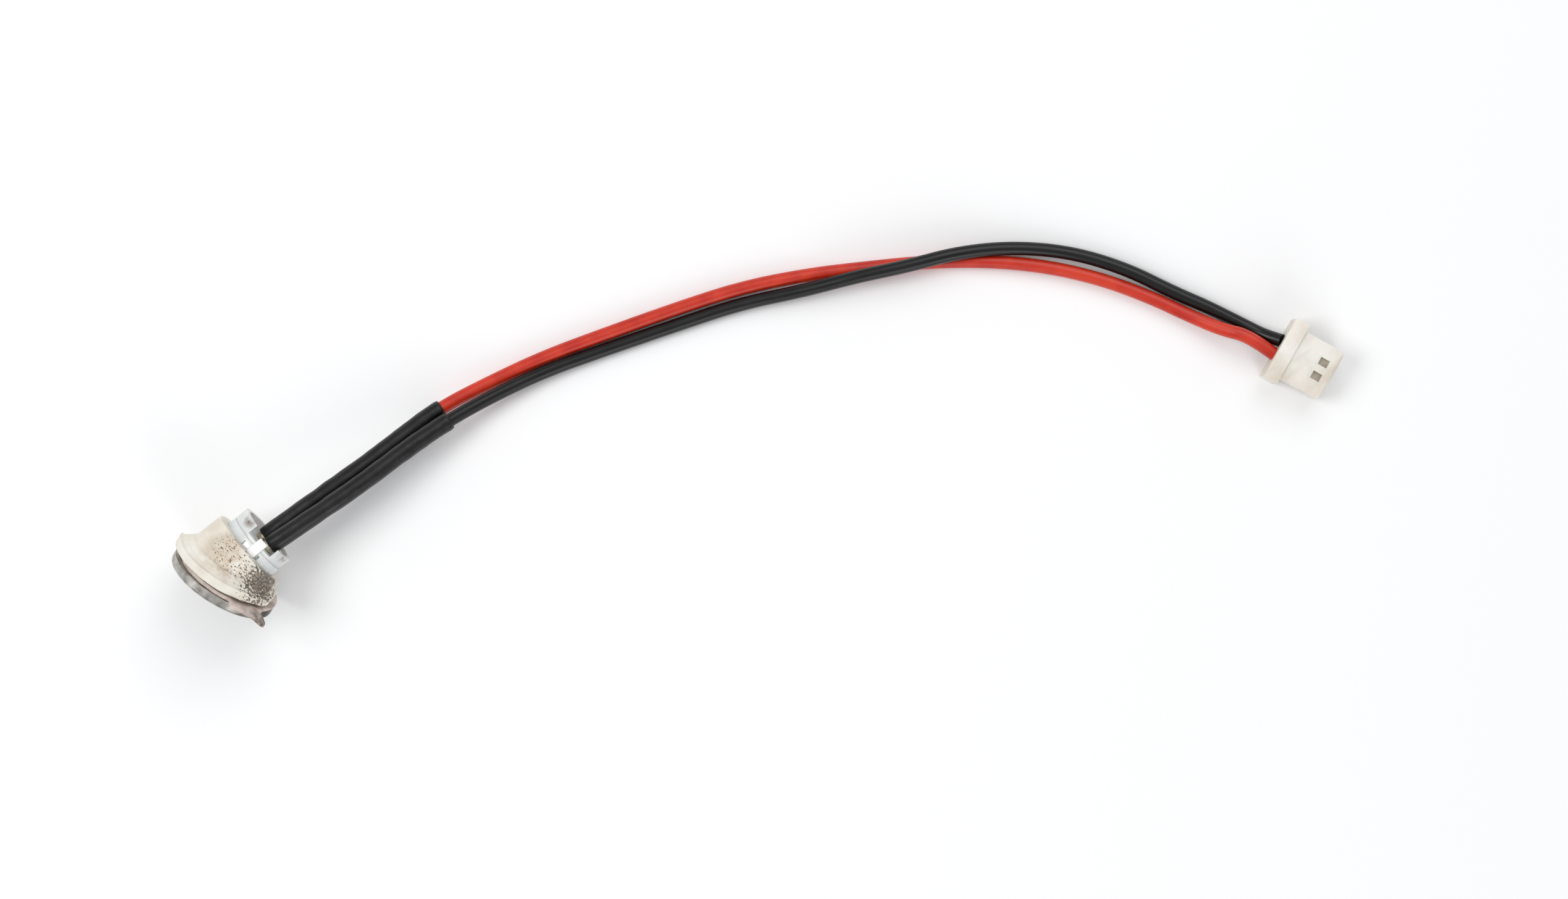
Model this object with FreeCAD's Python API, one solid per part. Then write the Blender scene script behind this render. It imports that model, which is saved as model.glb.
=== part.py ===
"""Miniature vibration coin motor in an angled silicone boot, with its two-wire lead and plug.

Millimetres, +Z up.  +X is the axis of the boot's barrel, pointing at the leads; +Y is to its left.
The motor lies on a surface at z = 0 and the origin is under the middle of the motor end.
The coin axis leaves the barrel axis by two angles, so the boot is a wedge.
"""
import FreeCAD, Part
import math
import os

V = FreeCAD.Vector
os.makedirs("parts", exist_ok=True)

# ---- the two axes -------------------------------------------------------------------------
COIN_SWING = 17.0        # degrees the coin axis swings to +Y from the barrel axis
COIN_RAISE = 15.0        # degrees the coin axis rises towards the leads

# ---- coin motor: every "S_" value is a distance along the coin axis from the boot's middle
COIN_SHIFT = 0.3         # the coin axis passes this far to -Y of the barrel axis
S_CAN_FRONT = -1.5
CAN_R = 4.5
CAN_WALL = 0.2
CAN_RIM = 0.8            # height of the can's rim
CAN_EDGE = 0.25          # rounding of its front edge
BASE_R = 3.75            # drawn cup behind the can
BASE_WALL = 0.18
BASE_FLOOR = 0.2
S_BASE_REAR = 0.45
BOSS_R = 0.65
BOSS_H = 0.4
SHAFT_R = 0.3
SHAFT_SEAT = 0.15        # depth of the shaft's seat in the can's face
WASHER_R = 0.7
WASHER_T = 0.08
RUN_GAP = 0.03           # running gap of the rotor along and around the shaft
CIRCUIT_T = 0.08
MAGNET_GAP = 0.07        # between the magnet and the cup's wall
MAGNET_HOLE_R = 2.0
MAGNET_T = 0.37
BRUSH_W = 0.4
BRUSH_T = 0.06

# ---- rotor --------------------------------------------------------------------------------
ROTOR_GAP = 0.17         # between the counterweight and the cup's wall
WEIGHT_OUT = 0.1         # the counterweight reaches this far past the moulding
ROTOR_SPAN = 210.0       # degrees of the lopsided moulding
ROTOR_T = 0.67
ROTOR_LIFT = 0.23        # commutator face above the magnet
HUB_R = 1.25
BUSH_R = 0.75
BOARD_RING = 1.15        # width of the commutator board
BOARD_T = 0.08
COIL_HOLE_R = 0.35
COIL_RIM = 0.08          # moulding left round each coil
COIL_ANGLE = 62.0
WEIGHT_IN = 0.2          # moulding left between the hub and the counterweight
WEIGHT_SPAN = 66.0
WEIGHT_PROUD = 0.08
POCKET_GAP = 0.02

# ---- tab ring between the can and the boot --------------------------------------------------
TAB_RING_T = 0.35
TAB_RING_R = 4.3
TAB_RING_SHIFT = 0.25    # the ring sits off centre, away from the boot's wide side
TAB_W = 1.25
TAB_LEN = 2.55
TAB_ANGLE = 112.0        # where the tab leaves the ring, from the wide side, degrees
TAB_OUT = 0.55           # the tab's centre line passes this far outside the ring
TAB_TURN = 4.0           # degrees the tab leans off the tangent

# ---- boot -----------------------------------------------------------------------------------
S_FLANGE_FRONT = -0.15
FLANGE_T = 0.8
FLANGE_R = 4.7
FLANGE_SHIFT = 0.2       # the flange is wider on the long side of the wedge
FLANGE_BLEND = 0.55      # height of the slope that eases the flange into the barrel
FLANGE_LIP = 0.3         # flat left round the foot of that slope
FLANGE_TRIM = 0.3        # below this height on the coin the flange is trimmed back
FLANGE_RIM = 0.28        # boot left round the drawn cup where the flange is trimmed
FLANGE_WEB = 0.4         # boot left beside the drawn cup at the flange's flat side
BOOT_WALL = 0.9
BARREL_REAR = 2.45       # rear face, along the barrel axis from where the axes meet
BARREL_EDGE = 0.12
BOOT_BORE_GAP = 0.02

# ---- rear cap, its fittings and the terminals ------------------------------------------------
CAP_R = 2.66
CAP_END = 4.32
CAP_CUP_DEPTH = 0.85
CAP_WALL = 0.41
GROOVE_AT = 3.15
GROOVE_W = 0.12
GROOVE_D = 0.1
NOTCH_W = 2.5            # opening in the cup wall over the solder joints
NOTCH_Y = -0.35
WINDOW_W = 0.42          # slot beside the boot's rear face
WINDOW_ANGLE = 96.0
WINDOW_SPAN = 40.0
BAND_DEPTH = 0.24        # of the band below the cap's surface
BAND_WALL = 0.18
BAND_LEN = 1.3
BAND_GAP = 0.02
STRAP_W = 0.8
STRAP_PROUD = 0.14
STRAP_LEN = 1.5
STRAP_Y = -0.45
STUB_R = 0.22
STUB_LEN = 1.0
STUB_Y = -1.72
STUB_Z = 0.15
TERM_W = 0.7
TERM_T = 0.22
TERM_END = 3.75          # where the terminals stop and the wires begin
TERM_RED = (0.1, -0.65)  # y and z from the barrel axis
TERM_BLACK = (-0.8, 0.65)
SLOT_GAP = 0.12
SOLDER_R = 0.62
SOLDER_PAST = 0.5        # how far the solder runs up the wire

# ---- lead -----------------------------------------------------------------------------------
WIRE_D = 1.1
SLEEVE_D = 1.55
SLEEVE_GAP = 0.02
SLEEVE_START = 0.7       # from the end of the terminal to the sleeve
SLEEVE_LEN = 17.0
ROUTE_RED = [
    (7.8, 0.2, 3.75),
    (12.1, -0.1, 3.0),
    (16.2, -0.2, 2.1),
    (20.3, -0.3, 1.35),
    (24.6, -1.2, 0.85),
    (29.4, -2.4, 0.62),
    (34.6, -4.2, 0.6),
    (39.9, -6.1, 0.6),
    (45.3, -8.2, 0.6),
    (50.1, -10.8, 0.6),
    (54.0, -13.3, 0.6),
    (58.2, -16.1, 0.6),
    (62.1, -19.2, 0.6),
    (65.6, -22.7, 0.6),
    (68.4, -26.4, 0.6),
    (70.5, -30.1, 0.6),
    (71.8, -32.9, 0.7),
    (73.1, -35.5, 1.35),
    (74.4, -37.2, 1.9),
]
ROUTE_BLACK = [
    (7.9, -0.9, 5.05),
    (12.2, -1.2, 4.25),
    (16.4, -1.3, 3.35),
    (20.4, -1.6, 2.5),
    (24.4, -2.3, 1.6),
    (28.9, -3.4, 0.85),
    (33.9, -5.2, 0.6),
    (39.0, -7.2, 0.6),
    (44.3, -9.3, 0.62),
    (49.0, -11.6, 1.05),
    (52.9, -13.4, 1.7),
    (56.7, -15.4, 1.85),
    (60.5, -17.1, 1.6),
    (64.3, -19.6, 0.9),
    (67.7, -22.9, 0.6),
    (70.3, -26.8, 0.6),
    (72.0, -30.6, 0.58),
    (73.3, -33.1, 0.57),
    (74.2, -35.1, 0.57),
    (74.9, -36.7, 0.57),
    (75.5, -38.1, 0.95),
]

# ---- plug -----------------------------------------------------------------------------------
PLUG_X = 75.6            # middle of the wire side
PLUG_Y = -39.4
PLUG_TURN = -68.9        # degrees from +X to the way the plug is pushed in
PLUG_FLANGE_W = 5.3
PLUG_FLANGE_L = 1.2
PLUG_FLANGE_H = 3.3
PLUG_BODY_W = 4.2
PLUG_BODY_L = 3.6
PLUG_BODY_H = 2.9
PLUG_EDGE = 0.2
PLUG_PITCH = 1.25
PLUG_CAVITY_W = 0.75
PLUG_CAVITY_H = 0.95
PLUG_WINDOW_L = 0.8
PLUG_WINDOW_W = 0.65
PLUG_WINDOW_BACK = 0.75  # from the plug's front face to its windows
CONTACT_WALL = 0.12
CONTACT_GAP = 0.03


# ---- sizes that follow from those above ---------------------------------------------------------
inside_r = BASE_R - BASE_WALL
magnet_r = inside_r - MAGNET_GAP
weight_in_r = HUB_R + WEIGHT_IN
weight_out_r = inside_r - ROTOR_GAP
rotor_r = weight_out_r - WEIGHT_OUT
coil_r = (rotor_r - HUB_R) / 2 - COIL_RIM
coil_at = (rotor_r + HUB_R) / 2
board_r = BUSH_R + BOARD_RING
tab_distance = TAB_RING_R + TAB_OUT
flange_flat = BASE_R + FLANGE_WEB
trimmed_r = BASE_R + FLANGE_RIM
bore_r = CAP_R + BOOT_BORE_GAP
barrel_r = bore_r + BOOT_WALL
cup_r = CAP_R - CAP_WALL
band_r = CAP_R - BAND_DEPTH


# ---- helpers --------------------------------------------------------------------------------
def axis_place():
    """Placement of the coin's own frame: x to the wide side, y up, z along the coin axis."""
    a = math.radians(COIN_SWING)
    e = math.radians(COIN_RAISE)
    rear = V(math.cos(a) * math.cos(e), math.sin(a) * math.cos(e), math.sin(e))
    side = V(-math.sin(a), math.cos(a), 0)
    turn = FreeCAD.Rotation(side, rear.cross(side), rear, "ZXY")
    return FreeCAD.Placement(side * -COIN_SHIFT, turn)


COIN = axis_place()


def disc(r, s0, s1, x=0.0, y=0.0):
    """Cylinder along the coin axis, in the coin's own frame."""
    return Part.makeCylinder(r, s1 - s0, V(x, y, s0))


def rod(r, x0, x1, y=0.0, z=0.0):
    """Cylinder along the barrel axis."""
    return Part.makeCylinder(r, x1 - x0, V(x0, y, z), V(1, 0, 0))


def box(x0, x1, y0, y1, z0, z1):
    return Part.makeBox(x1 - x0, y1 - y0, z1 - z0, V(x0, y0, z0))


def sector(r0, r1, s0, s1, mid, span):
    """Part of a ring between two angles, in the coin's own frame."""
    whole = Part.makeCylinder(r1, s1 - s0, V(0, 0, s0), V(0, 0, 1), span)
    whole.rotate(V(0, 0, 0), V(0, 0, 1), mid - span / 2)
    return whole.cut(disc(r0, s0 - 1, s1 + 1))


def on_coin(shape):
    moved = shape.copy()
    moved.Placement = COIN.multiply(moved.Placement)
    return moved


def behind(s):
    """Everything behind a plane across the coin axis, in the motor's frame."""
    return on_coin(Part.makeBox(40, 40, 40, V(-20, -20, s)))


head = {}

# ---- coin motor, fixed pieces -----------------------------------------------------------------
s_inside = S_CAN_FRONT + CAN_WALL
s_rim = S_CAN_FRONT + CAN_RIM
s_floor = S_BASE_REAR - BASE_FLOOR
s_boss = s_floor - BOSS_H
s_circuit = s_floor - CIRCUIT_T
s_magnet = s_circuit - MAGNET_T
s_shaft = s_inside - SHAFT_SEAT

can = disc(CAN_R, S_CAN_FRONT, s_rim)
front_edge = [e for e in can.Edges if abs(e.CenterOfMass.z - S_CAN_FRONT) < 1e-6 and e.Closed]
can = can.makeFillet(CAN_EDGE, front_edge)
can = can.cut(disc(BASE_R, s_inside, s_rim + 1))
can = can.cut(disc(SHAFT_R, s_shaft, s_inside))
head["can"] = on_coin(can)

terminals = {"red": TERM_RED, "black": TERM_BLACK}


def terminal_bar(name, grow, x0, x1):
    y, z = terminals[name]
    w = TERM_W / 2 + grow
    t = TERM_T / 2 + grow
    return box(x0, x1, y - w, y + w, z - t, z + t)


base = disc(BASE_R, s_inside, S_BASE_REAR)
base = base.cut(disc(BASE_R - BASE_WALL, s_inside - 1, s_floor))
base = base.fuse(disc(BOSS_R, s_boss, s_floor)).removeSplitter()
base = base.cut(disc(SHAFT_R, s_boss - 1, S_BASE_REAR + 1))
base = on_coin(base)
for name in terminals:
    slot = terminal_bar(name, SLOT_GAP, -3, 3).common(behind(s_floor - 0.01))
    base = base.cut(slot)
head["base_cup"] = base

head["shaft"] = on_coin(disc(SHAFT_R, s_shaft, S_BASE_REAR))
washer_hole = SHAFT_R + RUN_GAP
upper = disc(WASHER_R, s_inside, s_inside + WASHER_T)
head["upper_thrust_washer"] = on_coin(upper.cut(disc(washer_hole, s_inside - 1, 1)))
lower = disc(WASHER_R, s_boss - WASHER_T, s_boss)
head["lower_thrust_washer"] = on_coin(lower.cut(disc(washer_hole, s_boss - 1, 1)))

circuit = disc(magnet_r, s_circuit, s_floor)
circuit = circuit.cut(disc(BOSS_R, s_circuit - 1, 1))
head["feeder_circuit"] = on_coin(circuit)
magnet = disc(magnet_r, s_magnet, s_circuit)
magnet = magnet.cut(disc(MAGNET_HOLE_R, s_magnet - 1, 1))
head["ring_magnet"] = on_coin(magnet)

s_board = s_magnet - ROTOR_LIFT + BOARD_T     # commutator's face
s_brush = s_board + RUN_GAP


def brush(turn):
    """Leaf spring: a foot on the circuit, a ramp and a tip just off the commutator."""
    side = [
        (1.8, s_circuit),
        (1.35, s_circuit),
        (0.98, s_brush + BRUSH_T),
        (0.8, s_brush + BRUSH_T),
        (0.8, s_brush),
        (1.02, s_brush),
        (1.38, s_circuit - BRUSH_T),
        (1.8, s_circuit - BRUSH_T),
    ]
    points = [V(x, -BRUSH_W / 2, s) for x, s in side]
    leaf = Part.Face(Part.makePolygon(points + points[:1])).extrude(V(0, BRUSH_W, 0))
    leaf.rotate(V(0, 0, 0), V(0, 0, 1), turn)
    return leaf


head["brush_a"] = on_coin(brush(20))
head["brush_b"] = on_coin(brush(160))

# ---- rotor --------------------------------------------------------------------------------------
s_rotor = s_board - BOARD_T
s_rotor_front = s_rotor - ROTOR_T
bush_front = s_inside + WASHER_T + RUN_GAP
bush_rear = s_boss - WASHER_T - RUN_GAP

bush = disc(BUSH_R, bush_front, bush_rear).cut(disc(SHAFT_R + RUN_GAP, bush_front - 1, 1))
head["bearing_bush"] = on_coin(bush)
board = disc(board_r, s_rotor, s_board).cut(disc(BUSH_R, s_rotor - 1, 1))
head["commutator_board"] = on_coin(board)

coils = {}
for name, angle in (("coil_a", COIL_ANGLE), ("coil_b", -COIL_ANGLE)):
    cx = coil_at * math.cos(math.radians(angle))
    cy = coil_at * math.sin(math.radians(angle))
    coils[name] = (cx, cy)
    coil = disc(coil_r, s_rotor_front, s_rotor, cx, cy)
    coil = coil.cut(disc(COIL_HOLE_R, s_rotor_front - 1, 1, cx, cy))
    head[name] = on_coin(coil)
weight_front = s_rotor_front - WEIGHT_PROUD
weight = sector(weight_in_r, weight_out_r, weight_front, s_rotor, 0, WEIGHT_SPAN)
head["counterweight"] = on_coin(weight)

frame = sector(0.1, rotor_r, s_rotor_front, s_rotor, 0, ROTOR_SPAN)
frame = frame.fuse(disc(HUB_R, s_rotor_front, s_rotor)).removeSplitter()
frame = frame.cut(disc(BUSH_R, s_rotor_front - 1, 1))
for cx, cy in coils.values():
    frame = frame.cut(disc(coil_r + POCKET_GAP, s_rotor_front - 1, 1, cx, cy))
pocket_span = WEIGHT_SPAN + 2 * math.degrees(POCKET_GAP / weight_in_r)
pocket = sector(weight_in_r, weight_out_r + 1, s_rotor_front - 1, s_rotor + 1, 0, pocket_span)
frame = frame.cut(pocket)
head["rotor_frame"] = on_coin(frame)

# ---- tab ring -------------------------------------------------------------------------------------
s_ring = s_rim + TAB_RING_T
ring = disc(TAB_RING_R, s_rim, s_ring, -TAB_RING_SHIFT)
tab = Part.makeBox(TAB_LEN, TAB_W, TAB_RING_T, V(0, tab_distance - TAB_W / 2, s_rim))
tip = disc(TAB_W / 2, s_rim, s_ring, TAB_LEN, tab_distance)
tab = tab.fuse(tip)
root = Part.makeBox(1.2, tab_distance - 2.5, TAB_RING_T, V(0, 2.5, s_rim))
tab = tab.fuse(root)
tab.rotate(V(0, tab_distance, 0), V(0, 0, 1), -TAB_TURN)
tab = tab.mirror(V(0, 0, 0), V(1, 0, 0))
tab.rotate(V(0, 0, 0), V(0, 0, 1), TAB_ANGLE - 90)
ring = ring.fuse(tab).removeSplitter()
ring = ring.cut(disc(BASE_R, s_rim - 1, s_ring + 1))
head["tab_ring"] = on_coin(ring)

# ---- boot -----------------------------------------------------------------------------------------
s_flange_rear = S_FLANGE_FRONT + FLANGE_T
flange = disc(FLANGE_R, S_FLANGE_FRONT, s_flange_rear, FLANGE_SHIFT)
slope = Part.makeCone(FLANGE_R - FLANGE_LIP, barrel_r, FLANGE_BLEND, V(FLANGE_SHIFT, 0, s_flange_rear))
flange = flange.fuse(slope)
flange = flange.common(Part.makeBox(20, 20, 20, V(-flange_flat, FLANGE_TRIM, -10)))
flange = flange.fuse(disc(trimmed_r, S_FLANGE_FRONT, s_flange_rear)).removeSplitter()
flange = on_coin(flange)
flange = flange.common(box(-20, BARREL_REAR, -20, 20, -20, 20))
barrel = rod(barrel_r, -6, BARREL_REAR)
rear_edge = [e for e in barrel.Edges if abs(e.CenterOfMass.x - BARREL_REAR) < 1e-6 and e.Closed]
barrel = barrel.makeFillet(BARREL_EDGE, rear_edge)
barrel = barrel.common(behind(S_FLANGE_FRONT))
boot = flange.fuse(barrel).removeSplitter()
boot = boot.cut(on_coin(disc(BASE_R, S_FLANGE_FRONT - 1, S_BASE_REAR)))
boot = boot.cut(rod(bore_r, -6, 6).common(behind(S_BASE_REAR - 0.01)))
head["boot"] = boot

# ---- rear cap and fittings --------------------------------------------------------------------------
cup_floor = CAP_END - CAP_CUP_DEPTH
cap = rod(CAP_R, -6, CAP_END).common(behind(S_BASE_REAR))
cap = cap.cut(rod(cup_r, cup_floor, CAP_END + 1))
groove = rod(CAP_R + 1, GROOVE_AT, GROOVE_AT + GROOVE_W)
groove = groove.cut(rod(CAP_R - GROOVE_D, GROOVE_AT - 1, GROOVE_AT + 1))
cap = cap.cut(groove)
notch_y0 = NOTCH_Y - NOTCH_W / 2
cap = cap.cut(box(cup_floor, CAP_END + 1, notch_y0, notch_y0 + NOTCH_W, 0, CAP_R + 1))
window = Part.makeCylinder(CAP_R + 1, WINDOW_W, V(0, 0, 0), V(0, 0, 1), WINDOW_SPAN)
window.rotate(V(0, 0, 0), V(0, 0, 1), -WINDOW_SPAN / 2)
window.rotate(V(0, 0, 0), V(0, 1, 0), 90)
window.rotate(V(0, 0, 0), V(1, 0, 0), WINDOW_ANGLE + 90)
window.translate(V(BARREL_REAR + 0.03, 0, 0))
cap = cap.cut(window.cut(rod(band_r, -6, 6)))
band_start = BARREL_REAR + 0.03 + WINDOW_W + 0.15 - BAND_LEN
band = rod(band_r, band_start, band_start + BAND_LEN)
band = band.cut(rod(band_r - BAND_WALL, band_start - 1, band_start + BAND_LEN + 1))
band = band.common(behind(S_BASE_REAR + BAND_GAP))
head["retaining_band"] = band
cap = cap.cut(band)

strap = box(BARREL_REAR, BARREL_REAR + STRAP_LEN, STRAP_Y - STRAP_W / 2, STRAP_Y + STRAP_W / 2,
            0, CAP_R + 1)
strap = strap.common(rod(CAP_R + STRAP_PROUD, 0, 10))
strap = strap.cut(rod(band_r + BAND_GAP, 0, 10))
head["strap"] = strap
cap = cap.cut(strap)

stub = rod(STUB_R, CAP_END - STUB_LEN - 0.1, CAP_END - 0.1, STUB_Y, STUB_Z)
head["stub_pin"] = stub
cap = cap.cut(stub)

for name, node in (("red", "terminal_positive"), ("black", "terminal_negative")):
    bar = terminal_bar(name, 0, -4, TERM_END).common(behind(s_floor))
    head[node] = bar
    cap = cap.cut(terminal_bar(name, 0, -4, cup_floor + 0.01))
head["rear_cap"] = cap

blobs = {}
for name in terminals:
    y, z = terminals[name]
    blob = Part.makeSphere(SOLDER_R, V(TERM_END, y, z))
    blob = blob.common(box(cup_floor, TERM_END + SOLDER_PAST, -9, 9, -9, 9))
    blobs[name] = blob.cut(terminal_bar(name, 0, 0, TERM_END))

# ---- stand the motor end on the surface, centred over the origin -------------------------------
whole = Part.makeCompound(list(head.values()))
room = whole.optimalBoundingBox()
lift = V(-(room.XMin + room.XMax) / 2, -(room.YMin + room.YMax) / 2, -room.ZMin)
for name in head:
    head[name].translate(lift)
print("the axes meet at", [round(c, 4) for c in lift])
print("motor end box", [round(c, 3) for c in (room.XLength, room.YLength, room.ZLength)])


# ---- plug: x along its own axis from the wire side, lying on the surface -------------------------
def in_plug(shape):
    moved = shape.copy()
    turn = FreeCAD.Rotation(V(0, 0, 1), PLUG_TURN)
    moved.Placement = FreeCAD.Placement(V(PLUG_X, PLUG_Y, 0), turn).multiply(moved.Placement)
    return moved


plug_len = PLUG_FLANGE_L + PLUG_BODY_L
body_z = (PLUG_FLANGE_H - PLUG_BODY_H) / 2
axis_z = PLUG_FLANGE_H / 2
flange = box(0, PLUG_FLANGE_L, -PLUG_FLANGE_W / 2, PLUG_FLANGE_W / 2, 0, PLUG_FLANGE_H)
body = box(PLUG_FLANGE_L / 2, plug_len, -PLUG_BODY_W / 2, PLUG_BODY_W / 2, body_z,
           body_z + PLUG_BODY_H)
front = [e for e in body.Edges if abs(e.CenterOfMass.x - plug_len) < 1e-6]
body = body.makeChamfer(PLUG_EDGE, front)
housing = flange.fuse(body).removeSplitter()
top_z = body_z + PLUG_BODY_H
contacts = {}
for side, node in ((-1, "contact_red"), (1, "contact_black")):
    y = side * PLUG_PITCH / 2
    w = PLUG_CAVITY_W / 2
    h = PLUG_CAVITY_H / 2
    housing = housing.cut(box(-1, plug_len + 1, y - w, y + w, axis_z - h, axis_z + h))
    window_x = plug_len - PLUG_WINDOW_BACK
    housing = housing.cut(box(window_x - PLUG_WINDOW_L, window_x, y - PLUG_WINDOW_W / 2,
                              y + PLUG_WINDOW_W / 2, axis_z, top_z + 1))
    w = w - CONTACT_GAP
    h = h - CONTACT_GAP
    contact = box(0, plug_len - PLUG_EDGE, y - w, y + w, axis_z - h, axis_z + h)
    w = w - CONTACT_WALL
    h = h - CONTACT_WALL
    bore = box(PLUG_FLANGE_L, plug_len, y - w, y + w, axis_z - h, axis_z + h)
    contacts[node] = contact.cut(bore)
lead = {"plug_housing": in_plug(housing)}
for node, shape in contacts.items():
    lead[node] = in_plug(shape)


# ---- lead: straight runs joined by tangent arcs ---------------------------------------------------
def rounded_path(points, label):
    """One wire through the points, each corner rounded as far as its shorter run allows."""
    points = [V(*p) for p in points]
    edges = []
    start = points[0]
    least = 1e9
    for before, at, after in zip(points, points[1:], points[2:]):
        back = before - at
        on = after - at
        half = (math.pi - back.getAngle(on)) / 2
        run = min(back.Length, on.Length)
        reach = 0.45 * run
        radius = reach / math.tan(half)
        least = min(least, radius)
        a = at + back.normalize() * reach
        b = at + on.normalize() * reach
        mid_way = (back + on).normalize() * (radius / math.cos(half) - radius)
        edges.append(Part.LineSegment(start, a).toShape())
        edges.append(Part.Arc(a, at + mid_way, b).toShape())
        start = b
    edges.append(Part.LineSegment(start, points[-1]).toShape())
    path = Part.Wire(edges)
    print(label, "length", round(path.Length, 2), "smallest bend radius", round(least, 2))
    return path


def tube(path, radius):
    first = path.Edges[0]
    start = first.valueAt(first.FirstParameter)
    along = first.tangentAt(first.FirstParameter)
    ring = Part.Wire(Part.makeCircle(radius, start, along))
    return path.makePipeShell([ring], True, False)


def plug_point(side):
    turn = math.radians(PLUG_TURN)
    y = side * PLUG_PITCH / 2
    return (PLUG_X - y * math.sin(turn), PLUG_Y + y * math.cos(turn), axis_z)


def terminal_point(name):
    y, z = terminals[name]
    return (lift.x + TERM_END, lift.y + y, lift.z + z)


routes = {
    "red": [terminal_point("red")] + ROUTE_RED + [plug_point(-1)],
    "black": [terminal_point("black")] + ROUTE_BLACK + [plug_point(1)],
}
paths = {}
for name, points in routes.items():
    path = rounded_path(points, "wire_" + name)
    paths[name] = path
    wire = tube(path, WIRE_D / 2)
    blobs[name].translate(lift)
    head["solder_positive" if name == "red" else "solder_negative"] = blobs[name].cut(wire)
    print("wire_" + name, "volume over section times length",
          round(wire.Volume / (math.pi * WIRE_D ** 2 / 4 * path.Length), 5))
    # the wire's end lies flat on the plug
    lead["wire_" + name] = wire.cut(in_plug(box(0, plug_len, -5, 5, -1, 5)))
    # the sleeve follows the same route, a little clear of the wire
    edges = []
    run = 0.0
    for edge in path.Edges:
        if run + edge.Length <= SLEEVE_START + 1e-6:
            run += edge.Length
            continue
        if run >= SLEEVE_START + SLEEVE_LEN:
            break
        lo = max(0.0, SLEEVE_START - run)
        hi = min(edge.Length, SLEEVE_START + SLEEVE_LEN - run)
        a = edge.getParameterByLength(lo)
        b = edge.getParameterByLength(hi)
        edges.append(edge.Curve.toShape(a, b))
        run += edge.Length
    sleeve_path = Part.Wire(edges)
    sleeve = tube(sleeve_path, SLEEVE_D / 2).cut(tube(sleeve_path, WIRE_D / 2 + SLEEVE_GAP))
    lead["sleeve_" + name] = sleeve
    print("sleeve_" + name, "length", round(sleeve_path.Length, 2))
print("wires' centre lines are apart by", round(paths["red"].distToShape(paths["black"])[0], 3))

for nodes in (head, lead):
    for name, shape in nodes.items():
        shape.exportStep("parts/" + name + ".step")
        print(name, len(shape.Solids), shape.isValid(), round(shape.Volume, 4))
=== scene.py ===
# %% [markdown]
# # A miniature coin vibration motor with its lead
#
# This notebook dresses a finished CAD model of a small vibration motor.
# The motor end is under 10 mm across: a steel coin can, a soft silicone boot and a milky rear cap.
# Two insulated wires in black sleeves run from it to a small white plug.
# The CAD model fixes every size, so the work here is surface, softness and light.

import math

import bmesh
import bpy
from mathutils import Matrix, Vector, noise


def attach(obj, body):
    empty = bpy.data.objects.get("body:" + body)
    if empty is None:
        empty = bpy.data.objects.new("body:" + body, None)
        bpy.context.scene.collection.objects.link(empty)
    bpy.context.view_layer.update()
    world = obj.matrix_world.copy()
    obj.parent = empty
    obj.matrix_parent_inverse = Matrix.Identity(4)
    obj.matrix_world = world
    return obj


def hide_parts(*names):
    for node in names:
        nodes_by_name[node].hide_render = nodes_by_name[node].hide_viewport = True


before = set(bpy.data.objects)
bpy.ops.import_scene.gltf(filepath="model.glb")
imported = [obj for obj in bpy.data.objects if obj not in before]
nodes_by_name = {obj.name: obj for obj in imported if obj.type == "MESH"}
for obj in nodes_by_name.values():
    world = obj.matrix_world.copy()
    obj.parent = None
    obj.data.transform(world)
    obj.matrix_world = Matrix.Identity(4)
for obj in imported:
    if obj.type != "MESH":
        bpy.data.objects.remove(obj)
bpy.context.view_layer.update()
MM = 0.001

# %% [markdown]
# ## Camera first
#
# A small thing is usually shown from straight above, lying on a table, with a long lens held close.
# The camera stands 300 mm over the middle of the lead and is turned so that the lead runs
# across the frame. Setting it first lets every later choice be judged in the same view.

# %% Camera
CAMERA_HEIGHT = 0.300   # metres above the table
VIEW_WIDTH = 0.12695    # metres of table seen across the frame
SENSOR = 36.0           # millimetres
MIDDLE = (0.03965, -0.02050)
TURN = math.radians(-39.4)

camera_data = bpy.data.cameras.new("camera")
camera_data.sensor_width = SENSOR
camera_data.lens = SENSOR * CAMERA_HEIGHT / VIEW_WIDTH
camera_data.clip_start = 0.01
camera_data.clip_end = 5.0
camera = bpy.data.objects.new("camera", camera_data)
camera.location = (MIDDLE[0], MIDDLE[1], CAMERA_HEIGHT)
camera.rotation_euler = (0.0, 0.0, TURN)
bpy.context.scene.collection.objects.link(camera)
bpy.context.scene.camera = camera
print("lens", round(camera_data.lens, 1), "mm")

# %% [markdown]
# ## Floor and soft light
#
# A plain pale sheet stands in for the table. Large soft lamps near the object give the long,
# gentle highlights that show a round wire as round, and a pale world fills the shadows.


# %% Floor
def link(name, mesh):
    piece = bpy.data.objects.new(name, mesh)
    bpy.context.scene.collection.objects.link(piece)
    return piece


FLOOR_SIZE = 1.5
FLOOR_DROP = 0.00002    # the floor lies a hair below the lead

floor_shape = bmesh.new()
bmesh.ops.create_grid(floor_shape, x_segments=1, y_segments=1, size=FLOOR_SIZE)
bmesh.ops.translate(floor_shape, verts=floor_shape.verts, vec=(0.0, 0.0, -FLOOR_DROP))
floor_mesh = bpy.data.meshes.new("floor")
floor_shape.to_mesh(floor_mesh)
floor_shape.free()
floor = link("floor", floor_mesh)
print("floor half width", FLOOR_SIZE, "m")


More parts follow.
